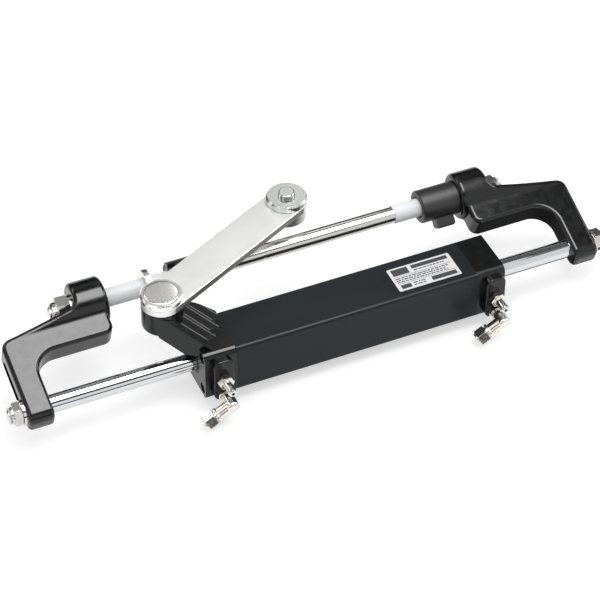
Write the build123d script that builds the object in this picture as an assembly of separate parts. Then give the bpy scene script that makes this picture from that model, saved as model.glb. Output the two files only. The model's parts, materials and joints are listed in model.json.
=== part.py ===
from build123d import *
import math
import os

# Hydraulic steering cylinder for an outboard engine.
# The barrel slides on a fixed rod that runs right through it. Two cast arms join that rod
# to a support rod, which passes through the engine's tilt tube, and a flat link carries the
# motion from a lug on the left head to the tiller.
# Origin: middle of the support rod's axis. +X along both rods, +Y to the engine, +Z up.

# Fits, all radial or one-sided
RUNNING = 0.05
SNUG = 0.02
FACE_GAP = 0.3
SEAL_END_PLAY = 0.2

# Layout of the two rods
ROD_SPACING = 79.0
ARM_TILT = 20.0
ARM_INNER_X = 240.5
REST_OFFSET = 27.0

# Cast arms, in their own plane: x along the rods, w from piston rod to support rod
ARM_OUTER_X = 263.0
ARM_THICK = 24.0
ARM_NOSE_W = 15.5
ARM_NOSE_R = 9.0
ARM_FRONT_W = 42.0
ARM_CROOK_R = 19.0
ARM_END_X = 168.0
ARM_END_R = 8.0
ARM_BACK_OUTER_W = 61.0
ARM_BACK_INNER_W = 73.0
ARM_BACK_R = 7.0
ARM_OUTER_R = 9.0
ARM_EDGE_R = 3.6
BOSS_R = 21.0
BOSS_PROUD = 3.5
BOSS_L = 28.5
ARM_SWELL_R = 13.0
BOSS_EDGE_R = 4.0
ARM_POCKET = (8.0, 50.0)
ARM_POCKET_H = (-9.0, 1.0)
ARM_POCKET_DEPTH = 4.0

# Support rod and what sits on it
SUPPORT_R = 7.5
SUPPORT_THREAD_R = 6.0
SUPPORT_NUT_AF_LEFT = 22.0
SUPPORT_NUT_AF_RIGHT = 18.0
SUPPORT_NUT_H_LEFT = 16.0
SUPPORT_NUT_H_RIGHT = 12.0
SUPPORT_WASHER_R = 12.0
SUPPORT_TIP = 2.0
SUPPORT_RING_X = -18.5
SUPPORT_RING_W = 2.0
SUPPORT_RING_DEPTH = 0.5
SUPPORT_FLAT_X = -27.0
SUPPORT_FLAT_L = 14.0
SUPPORT_FLAT_DEPTH = 0.9
NUT_POCKET_R = 14.0
SLEEVE_R = 8.2
SLEEVE_INNER_END_L = -76.0
SLEEVE_INNER_END_R = 105.0
THRUST_RING_X = -128.0
THRUST_RING_W = 5.0
THRUST_RING_R = 15.2
LOCK_NUT_X = -105.0
LOCK_NUT_L = 33.0
LOCK_NUT_R = 15.0
LOCK_NUT_BORE_R = 11.0
LOCK_NUT_BORE_L = 20.0
LOCK_NUT_SLOT_W = 5.0
LOCK_NUT_SLOT_L = 6.0
LOCK_NUT_SLOT_DEPTH = 4.5
LOCK_NUT_SLOTS = 6
ADJUST_NUT_L = 35.0
ADJUST_NUT_R = 14.8
ADJUST_BORE_R = 9.6
ADJUST_BORE_L = 18.0
ADJUST_LUG_FROM_BOSS = 14.5
ADJUST_LUG_L = 17.0
ADJUST_LUG_W = 11.0
ADJUST_LUG_R = 23.0
ADJUST_LUG_TURN = 229.5
ADJUST_BREAK = 1.0
ADJUST_LUG_BREAK = 1.5
ADJUST_SCREW_R = 2.5
ADJUST_SCREW_L = 8.0
ADJUST_SCREW_KEY = 2.5

# Piston rod and piston
PISTON_ROD_R = 8.0
STUD_R = 6.0
STUD_NUT_AF = 18.0
STUD_NUT_H = 10.0
STUD_WASHER_R = 11.0
STUD_TIP = 1.5
HEXAGON_SHARE = 0.7
COLLAR_SHARE = 0.42
COLLAR_ROLL = 1.5
CORNER_BREAK = 0.3
WASHER_H = 2.5
ROD_BREAK = 0.8
CLIP_W = 1.2
CLIP_R = 10.0
CLIP_GROOVE_R = 7.2
PISTON_L = 19.0
PISTON_SEAL_W = 4.0
PISTON_SEAL_DEPTH = 2.5
PISTON_END_GAP = 0.5

# Barrel and heads
BODY_W = 48.0
BODY_EDGE_R = 3.0
HEAD_FRONT_R = 6.0
BARREL_L = 224.0
LEFT_HEAD_L = 28.6
RIGHT_HEAD_L = 25.5
BORE_R = 15.0
SPIGOT_L = 5.0
WIPER_L = 5.0
WIPER_LIP_L = 1.5
WIPER_LIP_SET = 1.0
WIPER_BACK_RISE = 0.8
WIPER_FACE_RISE = 1.5
LAND_L = 2.0
SEAL_L = 6.0
SEAL_FORK = 2.5
SEAL_FORK_HALF = 0.4
SEAL_HEEL_BREAK = 0.5
SEAL_LIP_L = 2.0
BUSH_L = 12.0
SEAL_R = 11.0
BUSH_R = 12.0
LAND_R = 8.4
RING_R = 17.75
RING_SECTION_R = 0.9
SCREW_PITCH = 34.0
SCREW_R = 2.5
SCREW_HEAD_R = 4.25
SCREW_SLACK = 0.25
SCREW_HEAD_SLACK = 0.4
KEY_ROOM_R = 5.15
SCREW_HEAD_L = 5.0
SCREW_SINK = 1.0
SCREW_KEY = 4.0
SCREW_GRIP = 12.0

# Ports, bleed screws and hose elbows
PORT_FROM_JOINT = 14.2
PAD_W = 18.0
PAD_OUT = 7.0
PAD_TOP = 20.0
PAD_BOTTOM = -22.5
PAD_R = 6.0
PAD_EDGE_R = 1.2
PORT_Z = -16.5
PORT_R = 5.0
PORT_DEPTH = 9.0
BLEED_Z = 0.0
BLEED_R = 3.9
BLEED_DEPTH = 9.0
BLEED_HEX = 12.0
BLEED_HEX_H = 6.0
BLEED_OUT = 19.0
BLEED_BORE_R = 1.5
GALLERY_R = 1.25
GALLERY_RADIUS = 13.4
COLLAR_R = 6.5
COLLAR_L = 4.0
INLET_R = 5.0
BEND_OUT = 14.2
HEEL_R = 5.8
FLANGE_R = 7.2
FLANGE_L = 2.6
FLANGE_GAP = 0.8
OUTLET_DROP = 30.0
OUTLET_R = 5.6
OUTLET_L = 21.0
OUTLET_BORE_R = 2.5
HOSE_R = 4.0
HOSE_DEPTH = 14.0
HOSE_NUT_START = 16.4
HOSE_NUT_END = 27.0
HOSE_NUT_AF = 14.0
HOSE_NUT_RIM_L = 1.2
HOSE_NUT_RIM_R = 6.5
OLIVE_LIP = 0.6
OLIVE_L = 3.0

# Lug, link and tiller end; heights above the piston rod's axis
LUG_REACH_X = 19.0
LUG_REACH_Y = 21.4
LUG_TURN = -32.5
LUG_R = 17.8
LUG_TOP = 54.0
LUG_BOTTOM = 31.8
LUG_EDGE_R = 3.0
WEB_FOOT = (22.0, 15.5)
WEB_SHOULDER = (14.0, 46.0)
WEB_TOP = 52.0
WEB_TOE_T = 45.0
WEB_FRONT = 18.2
WEB_BACK = 26.0
WEB_BACK_T = 40.0
RIB_PITCH = 12.0
RIB_DEPTH = 4.0
RIB_COUNT = 4
ARM_CLEAR = 2.5
LINK_LENGTH = 160.5
LINK_TURN = 26.6
LINK_W = 35.6
LINK_T = 6.4
LINK_BREAK = 0.5
LINK_BUSH_R = 10.0
PIN_R = 8.0
PIN_CAP_R = 17.8
PIN_CAP_H = 5.0
PIN_CAP_BREAK = 1.2
PIN_SCREW_L = 18.0
TILLER_CAP_R = 17.8
TILLER_CAP_H = 5.5
TILLER_KNOB_R = 7.0
TILLER_KNOB_H = 4.0
TILLER_KNOB_EDGE_R = 1.0
TILLER_BUSH_R = 17.0
TILLER_BUSH_L = 10.3
TILLER_THREAD_R = 4.75
TILLER_THREAD_L = 15.0

# Sizes that follow from the ones above
PISTON_Y = -ROD_SPACING * math.cos(math.radians(ARM_TILT))
PISTON_Z = -ROD_SPACING * math.sin(math.radians(ARM_TILT))
BODY_L = LEFT_HEAD_L + BARREL_L + RIGHT_HEAD_L
BODY_LEFT = REST_OFFSET - BODY_L / 2
LEFT_JOINT = BODY_LEFT + LEFT_HEAD_L
RIGHT_JOINT = LEFT_JOINT + BARREL_L
BOSS_INNER_X = ARM_END_X - BOSS_PROUD
BOSS_OUTER_X = BOSS_INNER_X + BOSS_L
ADJUST_LUG_X = BOSS_INNER_X - ADJUST_LUG_FROM_BOSS
PISTON_X = (LEFT_HEAD_L - RIGHT_HEAD_L) / 2
STROKE = BARREL_L - 2 * SPIGOT_L - PISTON_L - 2 * PISTON_END_GAP
HALF = BODY_W / 2
PAD_FACE = HALF + PAD_OUT
LUG_X = BODY_LEFT - LUG_REACH_X
LINK_Z = LUG_TOP + FACE_GAP
CAP_Z = LINK_Z + LINK_T + FACE_GAP

PISTON_AXIS = Pos(0, PISTON_Y, PISTON_Z)
ARM_FRAME = PISTON_AXIS * Rot(ARM_TILT, 0, 0)
LUG_FRAME = PISTON_AXIS * Pos(LUG_X, LUG_REACH_Y, 0)
TILLER_FRAME = LUG_FRAME * Rot(0, 0, LINK_TURN) * Pos(LINK_LENGTH, 0, 0)


def bar(start, end, radius):
    """Round bar along X."""
    return Pos((start + end) / 2, 0, 0) * Rot(0, 90, 0) * Cylinder(radius, end - start)


def post(bottom, top, radius):
    """Round bar along Z."""
    return Pos(0, 0, (bottom + top) / 2) * Cylinder(radius, top - bottom)


def ring(start, end, outer, inner):
    """Plain ring along X."""
    return bar(start, end, outer) - bar(start - 1, end + 1, inner)


def turned(outline):
    """Solid turned about X from its (x, radius) outline."""
    return revolve(make_face(Polyline(*outline, close=True)), Axis.X)


def hex_bar(start, end, across_flats):
    """Hexagon along X, with its corners turned off at both ends."""
    flats = RegularPolygon(across_flats / 2, 6, major_radius=False)
    prism = extrude(Plane.YZ.offset(start) * flats, end - start)
    corner = across_flats / math.sqrt(3)
    flat = across_flats / 2 - CORNER_BREAK
    drop = (corner - flat) * math.tan(math.radians(30))
    blank = turned([
        (start, 0), (start, flat), (start + drop, corner), (end - drop, corner), (end, flat), (end, 0),
    ])
    return prism & blank


def lock_nut_on(start, across_flats, height, thread_radius):
    """Nut with a rolled collar over its locking insert, standing on the plane x = start."""
    hexagon = height * HEXAGON_SHARE
    body = hex_bar(start, start + hexagon, across_flats)
    collar_r = across_flats * COLLAR_SHARE
    collar = turned([
        (start + hexagon - 1, 0), (start + hexagon - 1, collar_r),
        (start + height - COLLAR_ROLL, collar_r), (start + height, collar_r - COLLAR_ROLL), (start + height, 0),
    ])
    return body + collar - bar(start - 1, start + height + 1, thread_radius + SNUG)


def both_ends(shape):
    """The piece at the right end and its mirror image at the left."""
    return {"left": mirror(shape, about=Plane.YZ), "right": shape}


# Cast arms

def arm_section():
    """Section across an arm: plate, boss round the support rod, and a rounded nose."""
    plate_l = ROD_SPACING + ARM_NOSE_W
    plate = Pos(ROD_SPACING - plate_l / 2, 0) * Rectangle(plate_l, ARM_THICK)
    nose = plate.vertices().group_by(Axis.X)[0]
    plate = fillet(nose, ARM_NOSE_R)
    section = plate + Pos(ROD_SPACING, 0) * Circle(BOSS_R)
    meeting = ROD_SPACING - math.sqrt(BOSS_R ** 2 - ARM_THICK ** 2 / 4)
    necks = section.vertices().filter_by(lambda v: abs(v.X - meeting) < 0.1)
    return fillet(necks, ARM_SWELL_R)


def round_corner(face, x, w, radius):
    """The face with its corner at (x, w) rounded."""
    nearest = face.vertices().sort_by(lambda v: math.hypot(v.X - x, v.Y - w))[0]
    return fillet(nearest, radius)


def arm_plan():
    """Outline of an arm seen square to its plane, without the boss."""
    nose = -ARM_NOSE_W - 1
    face = make_face(Polyline(
        (ARM_INNER_X, nose), (ARM_INNER_X, ARM_FRONT_W), (ARM_END_X, ARM_FRONT_W),
        (ARM_END_X, ROD_SPACING), (BOSS_OUTER_X, ROD_SPACING), (BOSS_OUTER_X, ARM_BACK_INNER_W),
        (ARM_OUTER_X, ARM_BACK_OUTER_W), (ARM_OUTER_X, nose), close=True))
    face = round_corner(face, ARM_INNER_X, ARM_FRONT_W, ARM_CROOK_R)
    face = round_corner(face, ARM_END_X, ARM_FRONT_W, ARM_END_R)
    face = round_corner(face, BOSS_OUTER_X, ARM_BACK_INNER_W, ARM_BACK_R)
    return round_corner(face, ARM_OUTER_X, ARM_BACK_OUTER_W, ARM_OUTER_R)


def on_rim(edge):
    """True for an edge between an arm's side walls and its two broad faces."""
    middle = edge.center()
    run = edge.position_at(1) - edge.position_at(0)
    straight = edge.geom_type == GeomType.LINE
    upright = straight and abs(run.X) < 0.01 and abs(run.Y) < 0.01
    seam = straight and abs(run.Y) < 0.01 and abs(middle.Y - ARM_FRONT_W) > 0.01
    boss_face = edge.geom_type == GeomType.CIRCLE and abs(middle.X - BOSS_OUTER_X) < 0.01
    boss_end = middle.X < ARM_END_X + 0.5 and (abs(middle.Z) > ARM_THICK / 2 + 0.1 or middle.Y > ROD_SPACING / 1.4)
    return not (upright or seam or boss_face or boss_end)


def side_pocket():
    """Long weight pocket with round ends in the arm's outer wall."""
    low, high = ARM_POCKET
    bottom, top = ARM_POCKET_H
    height = top - bottom
    shape = SlotOverall(high - low, height)
    place = Plane.YZ.offset(ARM_OUTER_X - ARM_POCKET_DEPTH) * Pos((low + high) / 2, (bottom + top) / 2)
    return extrude(place * shape, ARM_POCKET_DEPTH + 1)


def right_arm():
    """Arm that carries the right ends of both rods, in its own plane."""
    swept = extrude(Plane.YZ.offset(BOSS_INNER_X) * arm_section(), ARM_OUTER_X - BOSS_INNER_X)
    plan = extrude(arm_plan(), BOSS_R + 1, both=True)
    boss_axis = Pos(0, ROD_SPACING, 0)
    boss_room = boss_axis * bar(BOSS_INNER_X, BOSS_OUTER_X, BOSS_R + 1)
    arm = swept & (plan + boss_room)
    arm = fillet(arm.edges().filter_by(on_rim), ARM_EDGE_R)
    knob = bar(BOSS_INNER_X, BOSS_OUTER_X, BOSS_R)
    knob = fillet(knob.edges().sort_by(Axis.X)[0], BOSS_EDGE_R)
    arm -= boss_axis * (bar(BOSS_INNER_X - 1, BOSS_INNER_X + BOSS_EDGE_R, BOSS_R + 4) - knob)
    arm -= boss_axis * bar(BOSS_INNER_X - 1, ARM_OUTER_X, SUPPORT_R + RUNNING)
    nut_room = BOSS_OUTER_X + WASHER_H + SUPPORT_NUT_H_LEFT + 2 * SUPPORT_TIP
    arm -= boss_axis * bar(BOSS_OUTER_X, nut_room, NUT_POCKET_R)
    arm -= bar(ARM_INNER_X - 1, ARM_OUTER_X + 1, STUD_R + RUNNING)
    return arm - side_pocket()


# Rods and what is clamped on them

def support_rod():
    """Stainless rod for the tilt tube, with an engraved ring, a spanner flat and threaded ends."""
    left_tip = BOSS_OUTER_X + WASHER_H + SUPPORT_NUT_H_LEFT + SUPPORT_TIP
    tip = BOSS_OUTER_X + WASHER_H + SUPPORT_NUT_H_RIGHT + SUPPORT_TIP
    thread = BOSS_OUTER_X - 1
    rod = turned([
        (-left_tip, 0), (-left_tip, SUPPORT_THREAD_R - ROD_BREAK), (-left_tip + ROD_BREAK, SUPPORT_THREAD_R),
        (-thread, SUPPORT_THREAD_R), (-thread, SUPPORT_R), (thread, SUPPORT_R), (thread, SUPPORT_THREAD_R),
        (tip - ROD_BREAK, SUPPORT_THREAD_R), (tip, SUPPORT_THREAD_R - ROD_BREAK), (tip, 0),
    ])
    half = SUPPORT_RING_W / 2
    rod -= ring(SUPPORT_RING_X - half, SUPPORT_RING_X + half, SUPPORT_R + 1, SUPPORT_R - SUPPORT_RING_DEPTH)
    flat = Pos(SUPPORT_FLAT_X, 0, SUPPORT_R) * Box(SUPPORT_FLAT_L, 3 * SUPPORT_R, 2 * SUPPORT_FLAT_DEPTH)
    return rod - flat


def piston_rod():
    """Chromed rod with a stud at each end and the two grooves that hold the piston."""
    stud = ARM_INNER_X + STUD_TIP + STUD_NUT_H + WASHER_H + ARM_OUTER_X - ARM_INNER_X
    rod = turned([
        (-stud, 0), (-stud, STUD_R - ROD_BREAK), (-stud + ROD_BREAK, STUD_R), (-ARM_INNER_X, STUD_R),
        (-ARM_INNER_X, PISTON_ROD_R), (ARM_INNER_X, PISTON_ROD_R), (ARM_INNER_X, STUD_R),
        (stud - ROD_BREAK, STUD_R), (stud, STUD_R - ROD_BREAK), (stud, 0),
    ])
    for side in (-1, 1):
        middle = PISTON_X + side * (PISTON_L + CLIP_W) / 2
        rod -= ring(middle - CLIP_W / 2, middle + CLIP_W / 2, PISTON_ROD_R + 1, CLIP_GROOVE_R)
    return rod


def piston():
    """Piston with a seal groove and a recess at each end for its retaining ring."""
    half = PISTON_L / 2
    body = ring(PISTON_X - half, PISTON_X + half, BORE_R - RUNNING, PISTON_ROD_R + SNUG)
    body -= ring(
        PISTON_X - PISTON_SEAL_W / 2, PISTON_X + PISTON_SEAL_W / 2, BORE_R, BORE_R - PISTON_SEAL_DEPTH)
    return body


def piston_seal():
    """Ring that runs on the bore."""
    half = PISTON_SEAL_W / 2 - SNUG
    inner = BORE_R - PISTON_SEAL_DEPTH + SNUG
    return ring(PISTON_X - half, PISTON_X + half, BORE_R - RUNNING / 2, inner)


def piston_clips():
    """The two open retaining rings beside the piston."""
    clips = []
    for side in (-1, 1):
        middle = PISTON_X + side * (PISTON_L + CLIP_W) / 2
        half = CLIP_W / 2 - SNUG
        clip = ring(middle - half, middle + half, CLIP_R, CLIP_GROOVE_R + SNUG)
        clip -= Pos(middle, 0, CLIP_R) * Box(CLIP_W * 2, CLIP_GROOVE_R, CLIP_R)
        clips.append(clip)
    return Compound(clips)


def sleeve(inner_end):
    """Thin nylon sleeve between the right boss and inner_end."""
    return ring(inner_end, BOSS_INNER_X, SLEEVE_R, SUPPORT_R + RUNNING)


def lock_nut():
    """Castellated nut with slots at its outer end and a thread for the tilt tube inside."""
    end = LOCK_NUT_X + LOCK_NUT_L
    nut = ring(LOCK_NUT_X, end, LOCK_NUT_R, SLEEVE_R + RUNNING)
    nut -= bar(end - LOCK_NUT_BORE_L, end + 1, LOCK_NUT_BORE_R)
    slot = Pos(LOCK_NUT_X, 0, LOCK_NUT_R) * Box(2 * LOCK_NUT_SLOT_L, LOCK_NUT_SLOT_W, 2 * LOCK_NUT_SLOT_DEPTH)
    for index in range(LOCK_NUT_SLOTS):
        nut -= Rot(index * 360 / LOCK_NUT_SLOTS, 0, 0) * slot
    return nut


def adjusting_nut():
    """Nut against the right arm, with a lug for its lock screw and a thread for the tilt tube."""
    start = BOSS_INNER_X - ADJUST_NUT_L
    nut = bar(start, BOSS_INNER_X, ADJUST_NUT_R)
    nut = chamfer(nut.edges().sort_by(Axis.X)[0], ADJUST_BREAK)
    lug = Pos(ADJUST_LUG_X, 0, ADJUST_LUG_R / 2) * Box(ADJUST_LUG_L, ADJUST_LUG_W, ADJUST_LUG_R)
    outer = lug.edges().filter_by(Axis.X).group_by(Axis.Z)[-1] + lug.edges().filter_by(Axis.Y).group_by(Axis.Z)[-1]
    nut += Rot(ADJUST_LUG_TURN - 90, 0, 0) * chamfer(outer, ADJUST_LUG_BREAK)
    nut -= bar(start - 1, BOSS_INNER_X + 1, SLEEVE_R + RUNNING)
    nut -= bar(start - 1, start + ADJUST_BORE_L, ADJUST_BORE_R)
    hole = post(0, ADJUST_LUG_R + 1, ADJUST_SCREW_R + SNUG)
    return nut - Pos(ADJUST_LUG_X, 0, 0) * Rot(ADJUST_LUG_TURN - 90, 0, 0) * hole


def adjusting_screw():
    """Set screw with a hexagon socket, level with the lug's face."""
    top = ADJUST_LUG_R - ADJUST_SCREW_R / 5
    screw = post(top - ADJUST_SCREW_L, top, ADJUST_SCREW_R)
    key = Pos(0, 0, top - ADJUST_SCREW_KEY) * RegularPolygon(ADJUST_SCREW_KEY / 2, 6, major_radius=False)
    screw -= extrude(key, ADJUST_SCREW_KEY + 1)
    return Pos(ADJUST_LUG_X, 0, 0) * Rot(ADJUST_LUG_TURN - 90, 0, 0) * screw


# Cylinder body, drawn about the piston rod's axis

def square_bar(start, end, front_top_radius):
    """Square bar along X with rounded long edges."""
    section = Rectangle(BODY_W, BODY_W)
    front_top = section.vertices().sort_by(lambda v: v.X - v.Y)[0]
    section = fillet(front_top, front_top_radius)
    square = section.vertices().filter_by(lambda v: abs(abs(v.X) - HALF) < 0.01 and abs(abs(v.Y) - HALF) < 0.01)
    section = fillet(square, BODY_EDGE_R)
    return extrude(Plane.YZ.offset(start) * section, end - start)


def at_screws(shape):
    """Four copies of the shape on the screw pattern."""
    half = SCREW_PITCH / 2
    return [Pos(0, y, z) * shape for y in (-half, half) for z in (-half, half)]


def barrel():
    """Square extrusion bored through, with screw holes in both end faces."""
    body = square_bar(LEFT_JOINT, RIGHT_JOINT, BODY_EDGE_R)
    body -= bar(LEFT_JOINT - 1, RIGHT_JOINT + 1, BORE_R)
    depth = SCREW_GRIP + 2 * SCREW_SINK
    for start, end in ((LEFT_JOINT - 1, LEFT_JOINT + depth), (RIGHT_JOINT - depth, RIGHT_JOINT + 1)):
        body -= at_screws(bar(start, end, SCREW_R + SNUG))
    return body


def port_pad():
    """Raised pad on the head's front face that the bleed screw and the elbow screw into."""
    height = PAD_TOP - PAD_BOTTOM
    face = RectangleRounded(PAD_W, height, PAD_R)
    back = -HALF + BODY_EDGE_R
    pad = extrude(Plane.XZ.offset(-back) * Pos(PORT_FROM_JOINT, (PAD_TOP + PAD_BOTTOM) / 2) * face,
                  PAD_FACE + back)
    return fillet(pad.faces().sort_by(Axis.Y)[0].edges(), PAD_EDGE_R)


def drilling(start, end, radius):
    """Round hole between two points."""
    a, b = Vector(*start), Vector(*end)
    return Plane(origin=(a + b) * 0.5, z_dir=b - a) * Cylinder(radius, (b - a).length)


def head_blank(length):
    """End head before boring: joint face at 0, outer face at +length, spigot behind the joint."""
    return square_bar(0, length, HEAD_FRONT_R) + bar(-SPIGOT_L, 1, BORE_R - SNUG) + port_pad()


def bored_head(head, length):
    """The head with its gland steps, ring groove, screw holes, port, bleed hole and oil ways."""
    wiper = length - WIPER_L
    land = wiper - LAND_L
    seal = land - SEAL_L
    head -= bar(wiper, length + 1, SEAL_R)
    head -= bar(-SPIGOT_L - 1, length, LAND_R)
    head -= bar(seal - 1, land, SEAL_R)
    head -= bar(-SPIGOT_L - 1, seal, BUSH_R)
    head -= ring(-1, 2 * RING_SECTION_R, RING_R + RING_SECTION_R, RING_R - RING_SECTION_R)
    head -= at_screws(bar(-1, length, SCREW_R + SCREW_SLACK))
    head -= at_screws(bar(length - SCREW_HEAD_L - SCREW_SINK, length + 1, SCREW_HEAD_R + SCREW_HEAD_SLACK))
    port_end = -PAD_FACE + PORT_DEPTH
    bleed_end = -PAD_FACE + BLEED_DEPTH
    x = PORT_FROM_JOINT
    head -= drilling((x, -PAD_FACE - 1, PORT_Z), (x, port_end, PORT_Z), PORT_R + SNUG)
    head -= drilling((x, -PAD_FACE - 1, BLEED_Z), (x, bleed_end, BLEED_Z), BLEED_R + RUNNING)
    head -= drilling((x, bleed_end - 1, BLEED_Z), (x, -GALLERY_RADIUS, BLEED_Z), BLEED_BORE_R)
    head -= drilling((x, port_end - 1, PORT_Z), (x, -GALLERY_RADIUS - GALLERY_R, BLEED_Z), GALLERY_R)
    return head - drilling((-SPIGOT_L - 1, -GALLERY_RADIUS, BLEED_Z), (x, -GALLERY_RADIUS, BLEED_Z), GALLERY_R)


def to_left(shape):
    """The piece of the left head: the head's frame mirrored onto the left joint."""
    return Pos(LEFT_JOINT, 0, 0) * mirror(shape, about=Plane.YZ)


def from_left(shape):
    """The same shape brought back into the head's own frame."""
    return mirror(Pos(-LEFT_JOINT, 0, 0) * shape, about=Plane.YZ)


def to_right(shape):
    """The piece of the right head."""
    return Pos(RIGHT_JOINT, 0, 0) * shape


def above_ribs(length):
    """Room above the lug's ribbed slope: a wave of arcs across the web, carried down along it."""
    turn = 2 * math.degrees(math.atan2(RIB_DEPTH / 2, RIB_PITCH / 4))
    radius = RIB_PITCH / 4 / math.sin(math.radians(turn))
    wave = [JernArc((RIB_PITCH / 2 - WEB_FRONT, 0), (1, 0), radius, -turn)]
    for index in range(2 * RIB_COUNT - 3):
        bend = 2 * turn if index % 2 == 0 else -2 * turn
        wave.append(JernArc(wave[-1] @ 1, wave[-1] % 1, radius, bend))
    wave.append(JernArc(wave[-1] @ 1, wave[-1] % 1, radius, -turn))
    edge = LUG_R + RIB_PITCH
    sides = Polyline(wave[-1] @ 1, (edge, 0), (edge, 2 * LUG_TOP), (-edge, 2 * LUG_TOP), (-edge, 0), wave[0] @ 0)
    run = Vector(WEB_TOE_T - WEB_SHOULDER[0], 0, HALF - WEB_SHOULDER[1])
    slope = Plane(origin=(WEB_SHOULDER[0], 0, WEB_SHOULDER[1]), x_dir=(0, 1, 0), z_dir=run)
    return extrude(slope * make_face([*wave, *sides.edges()]), length, both=True)


def lug_web():
    """Web between the head and the pivot boss, in the lug's frame: t away from the pivot."""
    end = WEB_TOE_T + LUG_R
    side = make_face(Polyline(
        (0, LUG_BOTTOM), WEB_FOOT, (end, WEB_FOOT[1]), (end, WEB_TOP), (0, WEB_TOP),
        close=True))
    plan = make_face(Polyline(
        (0, -LUG_R), (end, -WEB_FRONT), (end, WEB_BACK), (WEB_BACK_T, WEB_BACK), (8, LUG_R), (0, LUG_R),
        close=True))
    ribbed = extrude(plan, LUG_TOP) - above_ribs(LUG_TOP + end)
    return ribbed & extrude(Plane.XZ * side, LUG_TOP, both=True)


def lug():
    """Pivot boss and web, cut back where the left arm passes under them."""
    boss = post(LUG_BOTTOM, LUG_TOP, LUG_R)
    boss = fillet(boss.edges().sort_by(Axis.Z)[0], LUG_EDGE_R)
    shape = Pos(LUG_X, LUG_REACH_Y, 0) * Rot(0, 0, LUG_TURN) * (boss + lug_web())
    shape -= Pos(LEFT_JOINT + BODY_W, 0, 0) * Box(2 * BODY_W, 3 * BODY_W, 3 * BODY_W)
    arm_top = ARM_THICK / 2 + ARM_CLEAR
    reach = 2 * ROD_SPACING
    under_lug = Pos(BODY_LEFT - reach / 2, reach / 2 - ARM_NOSE_W - ARM_CLEAR, arm_top - reach / 2)
    beside_plate = Pos(0, ARM_FRONT_W - ARM_CLEAR + reach / 2, arm_top - reach / 2)
    tilt = Rot(ARM_TILT, 0, 0)
    shape -= tilt * under_lug * Box(reach, reach, reach)
    return shape - tilt * beside_plate * Box(8 * reach, reach, reach)


def left_head():
    """Left head with the lug that carries the link, and room for a key to reach its screws."""
    blank = to_left(head_blank(LEFT_HEAD_L)) + lug()
    blank -= at_screws(bar(BODY_LEFT - 2 * LUG_R, BODY_LEFT, KEY_ROOM_R))
    head = to_left(bored_head(from_left(blank), LEFT_HEAD_L))
    return head - Pos(LUG_X, LUG_REACH_Y, 0) * post(LUG_TOP - PIN_SCREW_L, LUG_TOP + 1, PIN_R + SNUG)


def right_head():
    """Right head."""
    return to_right(bored_head(head_blank(RIGHT_HEAD_L), RIGHT_HEAD_L))


def head_screws(length):
    """The four socket screws of a head, in the head's frame."""
    top = length - SCREW_SINK
    screw = bar(-SCREW_GRIP, top - SCREW_HEAD_L + 0.5, SCREW_R) + bar(top - SCREW_HEAD_L, top, SCREW_HEAD_R)
    key = Plane.YZ.offset(top - SCREW_HEAD_L / 2) * RegularPolygon(SCREW_KEY / 2, 6, major_radius=False)
    screw -= extrude(key, SCREW_HEAD_L)
    return Compound(at_screws(screw))


def spigot_ring():
    """O-ring in the head's joint face."""
    section = Pos(RING_SECTION_R, RING_R) * Circle(RING_SECTION_R - SNUG)
    return revolve(section, Axis.X)


def wiper(length):
    """Scraper ring in the head's outer face, with its lip on the rod."""
    start = length - WIPER_L + SNUG
    rod = PISTON_ROD_R + RUNNING
    return turned([
        (start, SEAL_R - SNUG), (length - SEAL_END_PLAY, SEAL_R - SNUG), (length - SEAL_END_PLAY, rod + WIPER_FACE_RISE),
        (length - WIPER_LIP_SET, rod), (length - WIPER_LIP_SET - WIPER_LIP_L, rod), (start, rod + WIPER_BACK_RISE),
    ])


def rod_seal(length):
    """Lip seal behind the land."""
    end = length - WIPER_L - LAND_L - SNUG
    start = end - SEAL_L + SEAL_END_PLAY
    rod = PISTON_ROD_R + RUNNING
    middle = (rod + SEAL_R) / 2
    return turned([
        (end, rod + SEAL_HEEL_BREAK), (end, SEAL_R - SNUG), (start, SEAL_R - SNUG),
        (start, middle + SEAL_FORK_HALF), (start + SEAL_FORK, middle), (start, middle - SEAL_FORK_HALF),
        (start, rod), (start + SEAL_LIP_L, rod),
    ])


def gland_bush(length):
    """Guide bush that the head slides on the rod with."""
    end = length - WIPER_L - LAND_L - SEAL_L - SEAL_END_PLAY
    return ring(end - BUSH_L, end, BUSH_R - RUNNING, PISTON_ROD_R + RUNNING)


# Ports

def outlet_frame():
    """Frame whose X runs from the elbow's bend out along its outlet."""
    bend = (LEFT_JOINT - PORT_FROM_JOINT, -PAD_FACE - BEND_OUT, PORT_Z)
    return Pos(*bend) * Rot(0, 180 - OUTLET_DROP, 0)


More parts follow.
